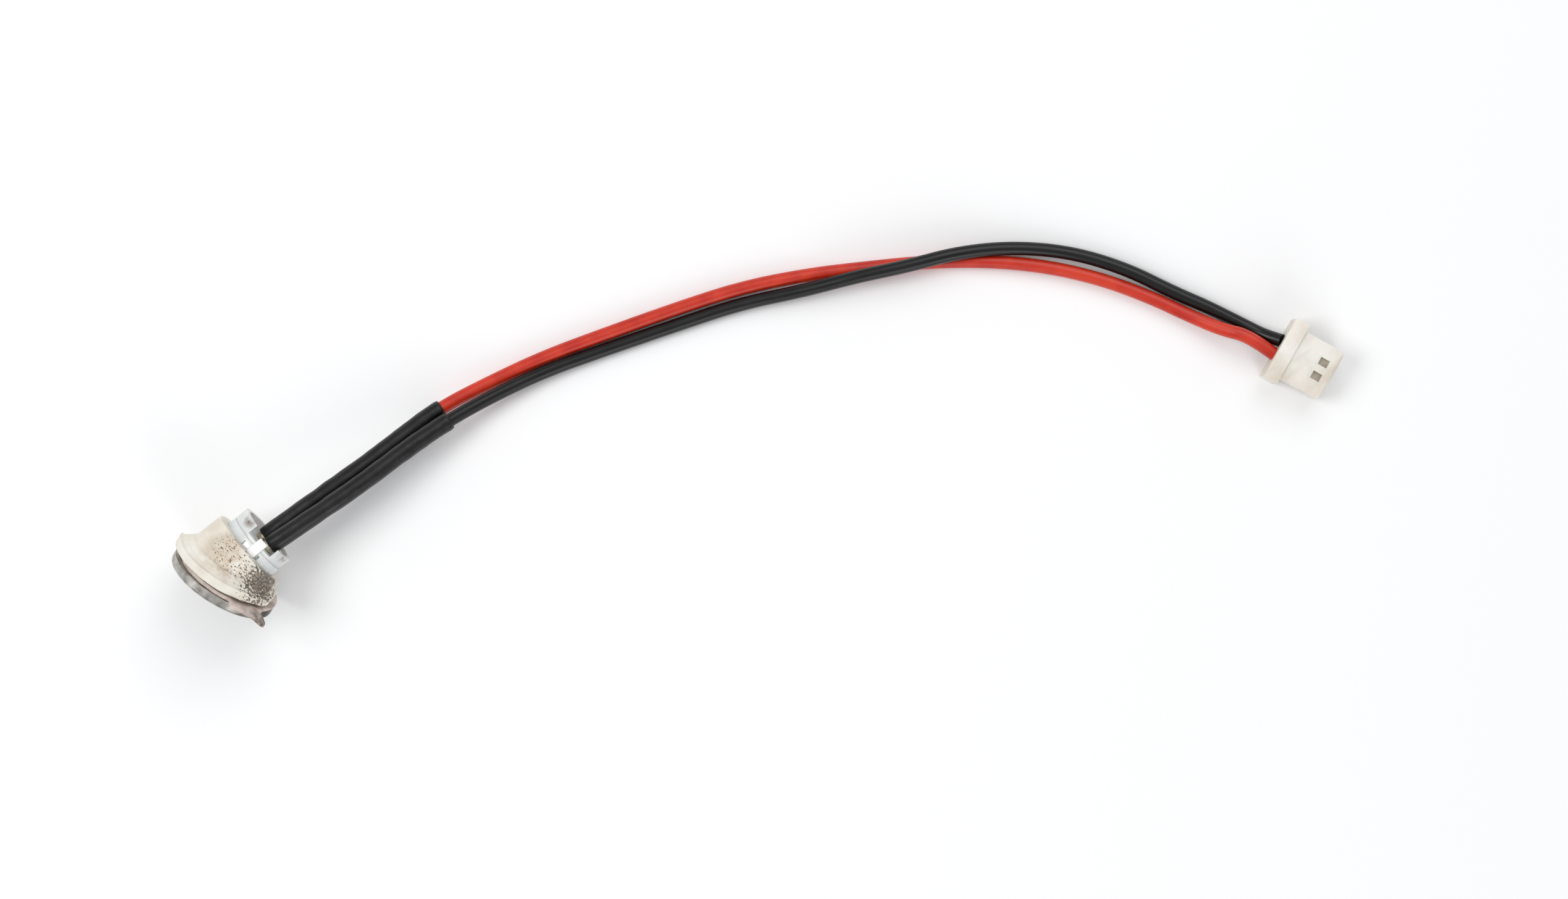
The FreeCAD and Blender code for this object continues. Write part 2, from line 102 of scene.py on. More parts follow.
# %% Lamps and world
def soft_lamp(name, place, aim, size, power):
    lamp_data = bpy.data.lights.new(name, "AREA")
    lamp_data.shape = "DISK"
    lamp_data.size = size
    lamp_data.energy = power
    lamp = bpy.data.objects.new(name, lamp_data)
    lamp.location = place
    lamp.rotation_euler = (Vector(aim) - Vector(place)).to_track_quat("-Z", "Y").to_euler()
    bpy.context.scene.collection.objects.link(lamp)


# name, place, the point it faces, diameter, power
LAMPS = [
    ("key", (-0.12, 0.16, 0.34), (0.03, -0.02, 0.0), 0.22, 0.62),
    ("fill", (0.26, 0.10, 0.30), (0.04, -0.02, 0.0), 0.30, 0.4),
    ("low", (-0.05, -0.30, 0.16), (0.03, -0.02, 0.0), 0.22, 0.25),
]
WORLD_COLOUR = (0.95, 0.96, 1.0, 1.0)
WORLD_STRENGTH = 0.55

for lamp_settings in LAMPS:
    soft_lamp(*lamp_settings)
world = bpy.data.worlds.new("pale_room")
world.use_nodes = True
world.node_tree.nodes["Background"].inputs["Color"].default_value = WORLD_COLOUR
world.node_tree.nodes["Background"].inputs["Strength"].default_value = WORLD_STRENGTH
bpy.context.scene.world = world
bpy.context.scene.view_settings.view_transform = "Standard"
print("lamps", len(LAMPS))

# %% [markdown]
# ## A small kit for surfaces
#
# Every finish starts from the same Principled shader. Patterns are built from noise on Object
# coordinates, which are metres here, so a noise scale of 1000 gives marks about a millimetre
# wide. A number that is the same everywhere is set on the shader's own socket. A mask is a
# pattern pressed to black and white, which keeps one colour away from another.


# %% Finish kit
OFF = (0.0, 0.0, 0.0)
ON = (1.0, 1.0, 1.0)


class Finish:
    """A material under construction: a shader, object coordinates and a few pattern makers."""

    def __init__(self, name, colour, roughness, metallic=0.0, **sockets):
        self.material = bpy.data.materials.new(name)
        self.material.use_nodes = True
        self.tree = self.material.node_tree
        self.shader = self.tree.nodes["Principled BSDF"]
        self.place = self.tree.nodes.new("ShaderNodeTexCoord").outputs["Object"]
        self.set("Base Color", (*colour, 1.0))
        self.set("Roughness", roughness)
        self.set("Metallic", metallic)
        for socket, value in sockets.items():
            self.set(socket.replace("_", " "), value)

    def set(self, socket, value):
        self.shader.inputs[socket].default_value = value

    def node(self, kind, **values):
        made = self.tree.nodes.new("ShaderNode" + kind)
        for key, value in values.items():
            setattr(made, key, value)
        return made

    def join(self, output, socket):
        self.tree.links.new(output, socket)

    def noise(self, scale, detail=3.0, stretch=(1.0, 1.0, 1.0), turn=(0.0, 0.0, 0.0)):
        mapping = self.node("Mapping")
        mapping.inputs["Scale"].default_value = stretch
        mapping.inputs["Rotation"].default_value = turn
        self.join(self.place, mapping.inputs["Vector"])
        made = self.node("TexNoise")
        made.inputs["Scale"].default_value = scale
        made.inputs["Detail"].default_value = detail
        self.join(mapping.outputs["Vector"], made.inputs["Vector"])
        return made.outputs["Fac"]

    def steps(self, value, stops):
        """A colour ramp: stops are (position, colour) pairs."""
        ramp = self.node("ValToRGB")
        elements = ramp.color_ramp.elements
        while len(elements) < len(stops):
            elements.new(0.5)
        for element, (position, colour) in zip(elements, stops):
            element.position = position
            element.color = colour if len(colour) == 4 else (*colour, 1.0)
        self.join(value, ramp.inputs["Fac"])
        return ramp.outputs["Color"]

    def mask(self, value, low, high, dimmest=OFF):
        """Black below one value of a pattern and white above another."""
        return self.steps(value, [(low, dimmest), (high, ON)])

    def near(self, middle, radius, stretch=(1.0, 1.0, 1.0)):
        """1 at a point of the piece, falling to 0 at a radius from it."""
        mapping = self.node("Mapping", vector_type="TEXTURE")
        mapping.inputs["Location"].default_value = middle
        mapping.inputs["Scale"].default_value = [radius * s for s in stretch]
        self.join(self.place, mapping.inputs["Vector"])
        ball = self.node("TexGradient", gradient_type="SPHERICAL")
        self.join(mapping.outputs["Vector"], ball.inputs["Vector"])
        return ball.outputs["Fac"]

    def math(self, kind, a, b):
        made = self.node("Math", operation=kind, use_clamp=True)
        for socket, value in zip(made.inputs, (a, b)):
            if isinstance(value, (int, float)):
                socket.default_value = value
            else:
                self.join(value, socket)
        return made.outputs["Value"]

    def blend(self, factor, a, b, kind="MIX"):
        mix = self.node("Mix", data_type="RGBA", blend_type=kind)
        sockets = [s for s in mix.inputs if s.enabled]
        for socket, value in zip(sockets, (factor, a, b)):
            if isinstance(value, (int, float)):
                socket.default_value = value
            elif isinstance(value, tuple):
                socket.default_value = (*value, 1.0)
            else:
                self.join(value, socket)
        return [s for s in mix.outputs if s.enabled][0]

    def bump(self, height, depth, strength=1.0):
        made = self.node("Bump")
        made.inputs["Strength"].default_value = strength
        made.inputs["Distance"].default_value = depth
        self.join(height, made.inputs["Height"])
        self.join(made.outputs["Normal"], self.shader.inputs["Normal"])

    def colour(self, output):
        self.join(output, self.shader.inputs["Base Color"])

    def roughness(self, value, low, high):
        spread = self.node("MapRange")
        spread.inputs["To Min"].default_value = low
        spread.inputs["To Max"].default_value = high
        self.join(value, spread.inputs["Value"])
        self.join(spread.outputs["Result"], self.shader.inputs["Roughness"])


print("finish kit ready")

# %% Floor finish
floor_finish = Finish("pale_table", (0.94, 0.94, 0.93), 0.7)
floor_grain = floor_finish.noise(60.0, 4.0)
floor_finish.roughness(floor_grain, 0.62, 0.78)
floor_mesh.materials.append(floor_finish.material)
print("floor finish", floor_finish.material.name)

# %% [markdown]
# ## The two leads
#
# Each lead is a thin insulated wire that lies where it was dropped. Its route is a short list of
# points, and a NURBS curve of order 3 rounds them into one smooth line, the way a limp wire
# bends. The same points place the wire's solid in the CAD model. The black wire passes over the
# red one in a long low hump, and the red one passes back over it just before the plug.

# %% Routes of the wires, in millimetres
ROUTE_RED = [
    (3.0625, 0.4592, 4.0287),
    (7.8, 0.2, 3.75),
    (12.1, -0.1, 3.0),
    (16.2, -0.2, 2.1),
    (20.3, -0.3, 1.35),
    (24.6, -1.2, 0.85),
    (29.4, -2.4, 0.62),
    (34.6, -4.2, 0.6),
    (39.9, -6.1, 0.6),
    (45.3, -8.2, 0.6),
    (50.1, -10.8, 0.6),
    (54.0, -13.3, 0.6),
    (58.2, -16.1, 0.6),
    (62.1, -19.2, 0.6),
    (65.6, -22.7, 0.6),
    (68.4, -26.4, 0.6),
    (70.5, -30.1, 0.6),
    (71.8, -32.9, 0.7),
    (73.1, -35.5, 1.35),
    (74.4, -37.2, 1.9),
    (75.0169, -39.625, 1.65),
]
ROUTE_BLACK = [
    (3.0625, -0.4408, 5.3287),
    (7.9, -0.9, 5.05),
    (12.2, -1.2, 4.25),
    (16.4, -1.3, 3.35),
    (20.4, -1.6, 2.5),
    (24.4, -2.3, 1.6),
    (28.9, -3.4, 0.85),
    (33.9, -5.2, 0.6),
    (39.0, -7.1, 0.6),
    (44.4, -9.15, 0.62),
    (49.0, -11.6, 1.05),
    (52.9, -13.4, 1.7),
    (56.7, -15.4, 1.85),
    (60.5, -17.1, 1.6),
    (64.3, -19.6, 0.9),
    (67.7, -22.9, 0.6),
    (70.3, -26.8, 0.6),
    (72.0, -30.6, 0.58),
    (73.3, -33.1, 0.57),
    (74.2, -35.1, 0.57),
    (74.9, -36.7, 0.57),
    (75.5, -38.1, 0.95),
    (76.1831, -39.175, 1.65),
]
WIRE_RADIUS = 0.55
print("route points", len(ROUTE_RED), len(ROUTE_BLACK))

# %% Lay the wires
CURVE_STEPS = 10
LINE_STEPS = 24         # finer, for measuring along a wire


def lay_route(name, points, radius):
    curve = bpy.data.curves.new(name, "CURVE")
    curve.dimensions = "3D"
    curve.resolution_u = CURVE_STEPS
    spline = curve.splines.new("NURBS")
    spline.points.add(len(points) - 1)
    for control, (x, y, z) in zip(spline.points, points):
        control.co = (x * MM, y * MM, z * MM, 1.0)
        control.radius = radius * MM
    spline.order_u = 3
    spline.use_endpoint_u = True
    curve.bevel_depth = 1.0     # times each point's own radius
    curve.bevel_resolution = 6
    curve.use_fill_caps = True
    return link(name, curve)


def evaluated_mesh(piece):
    """The piece's mesh with its modifiers and curve settings worked in."""
    bpy.context.view_layer.update()
    graph = bpy.context.evaluated_depsgraph_get()
    return bpy.data.meshes.new_from_object(piece.evaluated_get(graph))


def line_of(wire):
    """Points along a wire's centre line, read from its spline."""
    bare = wire.data.copy()
    bare.bevel_depth = 0.0
    bare.resolution_u = LINE_STEPS
    holder = link("bare_line", bare)
    drawn = evaluated_mesh(holder)
    points = [vertex.co.copy() for vertex in drawn.vertices]
    bpy.data.objects.remove(holder)
    return points


wire_red = lay_route("red_wire", ROUTE_RED, WIRE_RADIUS)
wire_black = lay_route("black_wire", ROUTE_BLACK, WIRE_RADIUS)
line_red = line_of(wire_red)
line_black = line_of(wire_black)


def length_of(points):
    return sum((b - a).length for a, b in zip(points, points[1:]))


for name, line in (("red", line_red), ("black", line_black)):
    print(name, "wire is", round(length_of(line) / MM, 1), "mm long")

# %% [markdown]
# ## Sleeves of shrunk tube
#
# Next to the motor each wire runs in a black tube that was shrunk on with heat. Shrunk tube is
# never quite even: it swells and narrows a little and has faint dents. Rings are set across the
# wire's line at short steps, out along the outside and back along the inside, and bridged into
# one closed tube. A slow noise changes each ring's size.


# %% Sleeves
SLEEVE_START = 0.12
SLEEVE_LENGTH = 17.55
SLEEVE_RADIUS = 0.775
SLEEVE_HOLE = 0.575
SLEEVE_STEP = 0.25
SLEEVE_SIDES = 32
MEAN_SIZE = 0.965       # of the full radius, before the swelling is added
SWELL = 0.035
SWELL_RATE = 0.55       # swellings per millimetre
DENT_AT, DENT_WIDTH, DENT = 5.2, 0.5, 0.04
LIP_WIDTH, LIP = 0.12, 0.05
FLARE_LENGTH, FLARE = 0.5, 0.075
RIPPLE_RATE, RIPPLE = 1.4, 0.022


def stations(points, start, length, step):
    """(place, direction, distance) at even steps along part of a line."""
    found = []
    target = start
    run = 0.0
    for a, b in zip(points, points[1:]):
        piece = (b - a).length
        while target <= run + piece and target <= start + length + 1e-9:
            found.append((a.lerp(b, (target - run) / piece), (b - a).normalized(), target - start))
            target += step
        run += piece
    return found


def sweep_sleeve(name, points, seed):
    shape = bmesh.new()
    marks = stations(points, SLEEVE_START * MM, SLEEVE_LENGTH * MM, SLEEVE_STEP * MM)
    last = marks[-1][2]

    def outer(distance):
        swell = noise.noise(Vector((distance / MM * SWELL_RATE, seed, 0.0)))
        dent = math.exp(-((distance / MM - DENT_AT) / DENT_WIDTH) ** 2)
        lip = math.exp(-min(distance, last - distance) / (LIP_WIDTH * MM))
        return SLEEVE_RADIUS * (MEAN_SIZE + SWELL * swell - DENT * dent - LIP * lip)

    def hole(distance):
        """The bore, opened at the motor's end to pass over the solder."""
        return SLEEVE_HOLE + FLARE * math.exp(-((distance / MM / FLARE_LENGTH) ** 4))

    plan = [(place, along, outer(distance), True) for place, along, distance in marks]
    plan += [(place, along, hole(distance), False) for place, along, distance in reversed(marks)]
    rings = []
    for place, along, radius, is_outside in plan:
        turn = along.to_track_quat("Z", "Y").to_matrix().to_4x4()
        made = bmesh.ops.create_circle(shape, cap_ends=False, segments=SLEEVE_SIDES,
                                       radius=radius * MM,
                                       matrix=Matrix.Translation(place) @ turn)
        if is_outside:
            for vertex in made["verts"]:
                here = vertex.co / MM
                out = (vertex.co - place).normalized()
                ripple = noise.noise(here * RIPPLE_RATE + Vector((seed, 0.0, 0.0)))
                vertex.co += out * ripple * RIPPLE * MM
        rings.append(sorted({edge for vertex in made["verts"] for edge in vertex.link_edges},
                            key=lambda edge: edge.index))
    for ring, following in zip(rings, rings[1:] + rings[:1]):
        bmesh.ops.bridge_loops(shape, edges=ring + following)
    bmesh.ops.recalc_face_normals(shape, faces=shape.faces)
    mesh = bpy.data.meshes.new(name)
    shape.to_mesh(mesh)
    shape.free()
    mesh.polygons.foreach_set("use_smooth", [True] * len(mesh.polygons))
    return link(name, mesh)


red_sleeve = sweep_sleeve("sleeve_on_red", line_red, 3.0)
black_sleeve = sweep_sleeve("sleeve_on_black", line_black, 11.0)
print("sleeve faces", len(red_sleeve.data.polygons), len(black_sleeve.data.polygons))

# %% [markdown]
# ## Softer copies of the moulded pieces
#
# The CAD solids have perfect edges, which silicone, tape and small mouldings never have. A copy
# of the solid is merged into one skin and remeshed with small even faces. Smoothing then rounds
# its edges by a fixed amount. Where the real piece is crisp, a copy only gets small bevels.


# %% Copies that can be reshaped
WELD = 0.002            # points nearer than this become one
SAME_PLANE = 1.5        # degrees between faces that are merged


def skin_of(node):
    shape = bmesh.new()
    shape.from_mesh(nodes_by_name[node].data)
    bmesh.ops.remove_doubles(shape, verts=shape.verts, dist=WELD * MM)
    return shape


def settle(shape, name, node, angle=None):
    """Turns a finished bmesh into a piece that stands for a CAD node."""
    bmesh.ops.recalc_face_normals(shape, faces=shape.faces)
    mesh = bpy.data.meshes.new(name)
    shape.to_mesh(mesh)
    shape.free()
    mesh.polygons.foreach_set("use_smooth", [True] * len(mesh.polygons))
    if angle:
        mesh.set_sharp_from_angle(angle=math.radians(angle))
    piece = link(name, mesh)
    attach(piece, "motor")
    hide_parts(node)
    print(name, len(mesh.polygons), "faces")
    return piece


def softened(node, voxel, rounds):
    """An evenly meshed copy with edges rounded by smoothing."""
    rough = skin_of(node)
    mesh = bpy.data.meshes.new("rough")
    rough.to_mesh(mesh)
    rough.free()
    holder = link("rough", mesh)
    remesh = holder.modifiers.new("even", "REMESH")
    remesh.mode = "VOXEL"
    remesh.voxel_size = voxel * MM
    even = evaluated_mesh(holder)
    bpy.data.objects.remove(holder)
    shape = bmesh.new()
    shape.from_mesh(even)
    for _ in range(rounds):
        bmesh.ops.smooth_vert(shape, verts=shape.verts, factor=0.5, use_axis_x=True,
                              use_axis_y=True, use_axis_z=True)
    shape.normal_update()
    return shape


def bevelled(node, width, angle=35.0):
    """A crisp copy with its sharp edges broken."""
    shape = skin_of(node)
    bmesh.ops.dissolve_limit(shape, angle_limit=math.radians(SAME_PLANE), verts=shape.verts,
                             edges=shape.edges)
    sharp = [edge for edge in shape.edges
             if len(edge.link_faces) == 2 and edge.calc_face_angle() > math.radians(angle)]
    bmesh.ops.bevel(shape, geom=sharp, offset=width * MM, offset_type="OFFSET", segments=2,
                    profile=0.5, affect="EDGES", clamp_overlap=True, material=-1)
    return shape


print("copy makers ready")

# %% [markdown]
# ## The silicone boot
#
# The boot is the largest thing in view: a cream wedge of soft rubber with a thin flange round
# the coin. Hand-trimmed silicone has a slightly wavy edge and a surface that is not quite true.
# After smoothing, every outside point is moved a few hundredths of a millimetre by noise. The
# inside is left alone, so that the boot still clears the motor and the cap.

# %% Boot
AXES_MEET = Vector((-0.6875, 0.3592, 4.6787))
COIN_AXIS = Vector((0.923719, 0.282409, 0.258819))
COIN_SIDE = Vector((-0.292372, 0.956305, 0.0))
COIN_SHIFT = 0.3        # of the coin's axis from the barrel's
BARREL_INSIDE = 2.95    # inside this radius the boot is left alone
FLANGE_INSIDE = 3.9
REAR_FROM, REAR_INSIDE = 0.6, 3.1
SLOW_WAVE, SLOW_DEPTH = 0.42, 0.06
FAST_WAVE, FAST_DEPTH = 1.3, 0.025
DRAW_IN = 0.03          # keeps the waves inside the moulding's true size
TRIM_RATE, TRIM_DEPTH = 0.8, 0.05


def ramp(value):
    return min(1.0, max(0.0, value))


boot_shape = softened("boot", 0.065, 5)
for vertex in boot_shape.verts:
    here = vertex.co / MM
    from_middle = here - AXES_MEET
    from_barrel = math.hypot(from_middle.y, from_middle.z)
    from_coin = from_middle + COIN_SIDE * COIN_SHIFT
    along_coin = from_coin.dot(COIN_AXIS)
    from_coin = (from_coin - COIN_AXIS * along_coin).length
    outside = ramp((from_barrel - BARREL_INSIDE) * 3.0) * ramp((from_coin - FLANGE_INSIDE) * 4.0)
    if from_middle.x > REAR_FROM:
        outside = max(outside, ramp((from_barrel - REAR_INSIDE) * 4.0))
    wave = noise.noise(here * SLOW_WAVE) * SLOW_DEPTH + noise.noise(here * FAST_WAVE) * FAST_DEPTH
    vertex.co += vertex.normal * (wave - DRAW_IN) * outside * MM
    trim = noise.noise(Vector((here.y * TRIM_RATE, here.z * TRIM_RATE, 4.0))) * TRIM_DEPTH
    if along_coin < 0.1 and from_coin > 4.1:
        vertex.co += COIN_AXIS * trim * MM
    vertex.co.z = max(vertex.co.z, 0.0)
boot = settle(boot_shape, "soft_boot", "boot")

# %% [markdown]
# ## The tape ring
#
# A ring of pale tape with a pull tab lies between the can and the boot. Handled tape crumples a
# little and its tab curls at the tip. A softened copy of the ring is drawn in unevenly by noise,
# and the tip is bent along a short curve. The curve grows as a square, so it starts gently.


# %% Tape ring with its tab
CRUMPLE_RATE, CRUMPLE_DEPTH = 1.1, 0.035
CRUMPLE_IN = 0.4        # draws the tape in more than out
CURL_ABOVE = 6.5
CURL_FROM, CURL_LENGTH, CURL = -3.0, 1.7, 0.5
CURL_WAY = Vector((-0.63, -0.77, 0.0))

tape_shape = softened("tab_ring", 0.05, 4)
for vertex in tape_shape.verts:
    here = vertex.co / MM
    crumple = noise.noise(here * CRUMPLE_RATE) - CRUMPLE_IN
    vertex.co += vertex.normal * crumple * CRUMPLE_DEPTH * MM
    across = (here - AXES_MEET).dot(COIN_SIDE) + COIN_SHIFT
    if here.z > CURL_ABOVE and across < CURL_FROM:
        curl = ((CURL_FROM - across) / CURL_LENGTH) ** 2 * CURL
        vertex.co += CURL_WAY * curl * MM
tape = settle(tape_shape, "tape_ring", "tab_ring")

# %% [markdown]
# ## Crisp mouldings
#
# The cap, the strap and the plug are injection moulded. Their edges are sharp to the finger but
# still catch a thread of light, so each edge gets a narrow bevel and nothing else is moved.

# %% Cap, strap and plug
cap = settle(bevelled("rear_cap", 0.035), "milky_cap", "rear_cap", 30.0)
strap = settle(bevelled("strap", 0.05), "white_strap", "strap", 30.0)
plug = settle(bevelled("plug_housing", 0.07), "nylon_plug", "plug_housing", 30.0)

# %% [markdown]
# ## Solder and the leads' places
#
# Hand-laid solder sets as an uneven blob. Each lump is softened and pushed about by fine noise.
# The wires and sleeves then take the places of their plain CAD solids.

# %% Lumps of solder
LUMP_RATE, LUMP_DEPTH, LUMP_IN = 3.0, 0.05, 0.5

joints = []
for node in ("solder_positive", "solder_negative"):
    lump = softened(node, 0.035, 2)
    for vertex in lump.verts:
        lumpy = noise.noise(vertex.co / MM * LUMP_RATE) - LUMP_IN
        vertex.co += vertex.normal * lumpy * LUMP_DEPTH * MM
    joints.append(settle(lump, node.replace("solder", "joint"), node))

# %% Wires and sleeves take their place on the motor
for piece, node, slot in ((wire_red, "wire_red", "red_insulation"),
                          (wire_black, "wire_black", "black_insulation"),
                          (red_sleeve, "sleeve_red", "shrink_sleeve"),
                          (black_sleeve, "sleeve_black", "shrink_sleeve")):
    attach(piece, "motor")
    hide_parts(node)
print("cords", wire_red.name, wire_black.name)

# %% [markdown]
# ## Finishes
#
# The colours are given as they look on a screen, 0 to 255, and changed to the linear values that
# the shader wants. Each finish then gets the marks its real material has: mottled steel, specked
# silicone, streaky nylon.


# %% Helpers for colour and place
def tone(red, green, blue):
    linear = []
    for part in (red / 255, green / 255, blue / 255):
        linear.append(part / 12.92 if part <= 0.04045 else ((part + 0.055) / 1.055) ** 2.4)
    return tuple(linear)


def at(x, y, z):
    return (x * MM, y * MM, z * MM)


def paint(piece, finish):
    data = piece.data
    data.materials.clear()
    data.materials.append(finish.material)


print("white comes out as", tone(255, 255, 255))

# %% [markdown]
# ## Used silicone
#
# Pale silicone picks up whatever it touches. It has a faint cloudiness of its own, then a warm
# stain and a scatter of fine brown specks. On one side a dense dark patch of painted shade is
# added, broken up by a grimy grain. Each is a mask with its own middle and reach, laid over the
# one before, so each can be moved by itself.

# %% Silicone with dirt specks
silicone = Finish("cream_silicone", tone(228, 221, 208), 0.5, Subsurface_Weight=0.1)
silicone.set("Subsurface Radius", (1.0, 0.85, 0.65))
silicone.set("Subsurface Scale", 0.0006)
cloud = silicone.noise(260.0, 4.0)
cream = silicone.steps(cloud, [(0.32, tone(212, 203, 184)), (0.5, tone(229, 223, 209)),
                               (0.68, tone(238, 235, 226))])
stain_spot = silicone.near(at(-0.75, 0.9, 7.9), 1.5 * MM, (0.7, 1.0, 1.0))
stain_wide = silicone.near(at(0.2, 0.6, 8.0), 2.6 * MM)
stain_noise = silicone.mask(silicone.noise(900.0, 5.0), 0.35, 0.65)
stain_area = silicone.math("MAXIMUM", silicone.math("MULTIPLY", stain_spot, 1.7), stain_wide)
stain = silicone.math("MULTIPLY", stain_area, stain_noise)
darkened = silicone.blend(stain, cream, tone(172, 142, 104))
speck_grain = silicone.noise(8200.0, 1.5, (1.0, 0.5, 1.0), (0.0, 0.0, 0.7))
speck_noise = silicone.mask(speck_grain, 0.585, 0.625)
speck_reach = silicone.near(at(0.75, 0.6, 8.0), 2.5 * MM, (0.75, 1.0, 1.0))
speck_area = silicone.mask(speck_reach, 0.08, 0.45)
specks = silicone.math("MULTIPLY", speck_noise, speck_area)
speckled = silicone.blend(silicone.math("MULTIPLY", specks, 0.85), darkened, tone(96, 66, 38))
# painted shade: a dense dark patch on the boot's side turned from the key lamp, broken up by a
# grimy grain
shade_patch_area = silicone.near(at(1.15, -2.45, 6.9), 3.1 * MM, (1.15, 0.9, 1.2))
shade_patch_grain = silicone.noise(5600.0, 2.5, (1.0, 0.6, 1.0))
shade_patch_edge = silicone.math("ADD", silicone.math("MULTIPLY", shade_patch_area, 0.36),
                           silicone.math("MULTIPLY", shade_patch_grain, 0.64))
shade_patch = silicone.mask(shade_patch_edge, 0.475, 0.525)
dark = silicone.steps(silicone.noise(6000.0, 2.0),
                      [(0.42, tone(40, 32, 26)), (0.62, tone(140, 124, 106))])
shade_patched = silicone.blend(silicone.math("MULTIPLY", shade_patch, 0.9), speckled, dark)
silicone.colour(shade_patched)
silicone.roughness(cloud, 0.42, 0.62)
silicone.bump(silicone.noise(700.0, 5.0), 0.00008, 0.7)
paint(boot, silicone)
print("silicone nodes", len(silicone.tree.nodes))

# %% [markdown]
# ## Tape colour
#
# The tape darkens towards the tab's tip and stays pale elsewhere.

# %% Tape darker towards the tab's tip
tape_finish = Finish("pale_tape", tone(214, 200, 192), 0.62, Subsurface_Weight=0.08)
tape_finish.set("Subsurface Scale", 0.0004)
tape_cloud = tape_finish.noise(800.0, 4.0)
tape_pale = tape_finish.steps(tape_cloud,
                              [(0.35, tone(168, 150, 140)), (0.6, tone(212, 198, 189))])
# darker towards the tab's tip
tip_darkening = tape_finish.math("MULTIPLY", tape_finish.near(at(-1.0, -5.1, 8.1), 1.7 * MM), 1.9)
tip_mask = tape_finish.mask(tape_finish.noise(1700.0, 4.0), 0.3, 0.6, (0.3, 0.3, 0.3))
tip_grain = tape_finish.math("MULTIPLY", tip_darkening, tip_mask)
tape_finish.colour(tape_finish.blend(tip_grain, tape_pale, tone(80, 66, 54)))
tape_finish.bump(tape_finish.noise(1500.0, 4.0), 0.00005, 0.5)
tape_finish.roughness(tape_cloud, 0.5, 0.75)
paint(tape, tape_finish)
print("tape nodes", len(tape_finish.tree.nodes))

# %% [markdown]
# ## Steel, solder and contacts
#
# Pressed and plated parts are never one even grey. Two tones are mixed by a cloudy noise that
# also varies the shine. The can's underside is darkened brown-black by painted shade.


# %% Steel of the can and its fittings
def metal(name, dark, light, rough, grain, darkened=None):
    finish = Finish(name, light, rough[0], 0.9)
    patches = finish.noise(grain, 5.0)
    shade = finish.steps(patches, [(0.32, dark), (0.62, light)])
    # painted shade: a grainy brown-black darkening laid over the can's underside
    if darkened:
        shade_place, shade_tone = darkened
        shade_grain = finish.mask(finish.noise(grain * 0.8, 4.0), 0.3, 0.6, (0.7, 0.7, 0.7))
        shade_reach = finish.mask(finish.near(*shade_place), 0.22, 0.62)
        shade = finish.blend(finish.math("MULTIPLY", shade_reach, shade_grain), shade, shade_tone)
    finish.colour(shade)
    finish.roughness(patches, *rough)
    finish.bump(finish.noise(grain * 4.0, 3.0), 0.00002, 0.35)
    return finish


# where the painted shade of the can's underside lies, and how far it reaches
UNDERSIDE_SHADE = (at(-1.0, -3.4, 3.0), 8.0 * MM, (1.0, 0.9, 1.0))

steel = metal("mottled_steel", tone(120, 116, 108), tone(206, 203, 196), (0.3, 0.5), 900.0,
              (UNDERSIDE_SHADE, tone(34, 29, 24)))
bright_steel = metal("bright_steel", tone(170, 168, 160), tone(225, 224, 218), (0.18, 0.34),
                     1200.0)
solder = metal("dull_solder", tone(176, 166, 140), tone(226, 220, 200), (0.2, 0.42), 1500.0)
contact_metal = metal("plated_contact", tone(196, 188, 168), tone(236, 230, 212), (0.22, 0.4),
                      1500.0)
heavy_metal = metal("heavy_metal", tone(110, 110, 114), tone(150, 150, 154), (0.35, 0.55),
                    1500.0)
copper = metal("copper", tone(160, 96, 58), tone(206, 136, 92), (0.28, 0.45), 1800.0)
METALS = (steel, bright_steel, solder, contact_metal, heavy_metal, copper)
print("metals", len(METALS))

# %% [markdown]
# ## Mouldings, films and insulation
#
# Plastics share one recipe: two close tones, a varying shine and a very shallow grain. The milky
# cap lets a little light through, and two brown crescents of painted shade darken its cup. The
# natural nylon of the plug carries faint darker streaks along its length, painted shade for
# shallow recesses in its top face.


# %% Plain mouldings, films and rubber
def moulding(name, dark, light, rough, grain, depth=0.00002, **sockets):
    finish = Finish(name, light, rough[0], 0.0, **sockets)
    patches = finish.noise(grain, 4.0)
    finish.plain = finish.steps(patches, [(0.35, dark), (0.65, light)])
    finish.colour(finish.plain)
    finish.roughness(patches, *rough)
    finish.bump(finish.noise(grain * 3.0, 3.0), depth, 0.4)
    return finish


PLUG_TURN = math.radians(68.9)

milky = moulding("milky_plastic", tone(226, 228, 226), tone(248, 248, 246), (0.2, 0.34), 500.0,
                 Transmission_Weight=0.12, IOR=1.46, Subsurface_Weight=0.15)
milky.set("Subsurface Scale", 0.0006)
# painted shade: two brown crescents darken the cap's cup at either side
cap_cup_shade_area = milky.math("MAXIMUM", milky.near(at(3.6, 1.9, 6.7), 0.85 * MM),
                       milky.near(at(3.66, -1.88, 6.0), 0.8 * MM))
cap_shade_grain = milky.mask(milky.noise(1500.0, 4.0), 0.4, 0.6, (0.15, 0.15, 0.15))
cap_cup_shade = milky.math("MULTIPLY", milky.math("MULTIPLY", cap_cup_shade_area, 1.6), cap_shade_grain)
milky.colour(milky.blend(cap_cup_shade, milky.plain, tone(112, 90, 68)))
white = moulding("white_plastic", tone(244, 243, 240), tone(252, 252, 250), (0.4, 0.5), 700.0)
nylon = moulding("natural_nylon", tone(230, 223, 209), tone(248, 244, 235), (0.3, 0.45), 420.0,
                 Subsurface_Weight=0.3, Transmission_Weight=0.08)
nylon.set("Subsurface Scale", 0.0008)
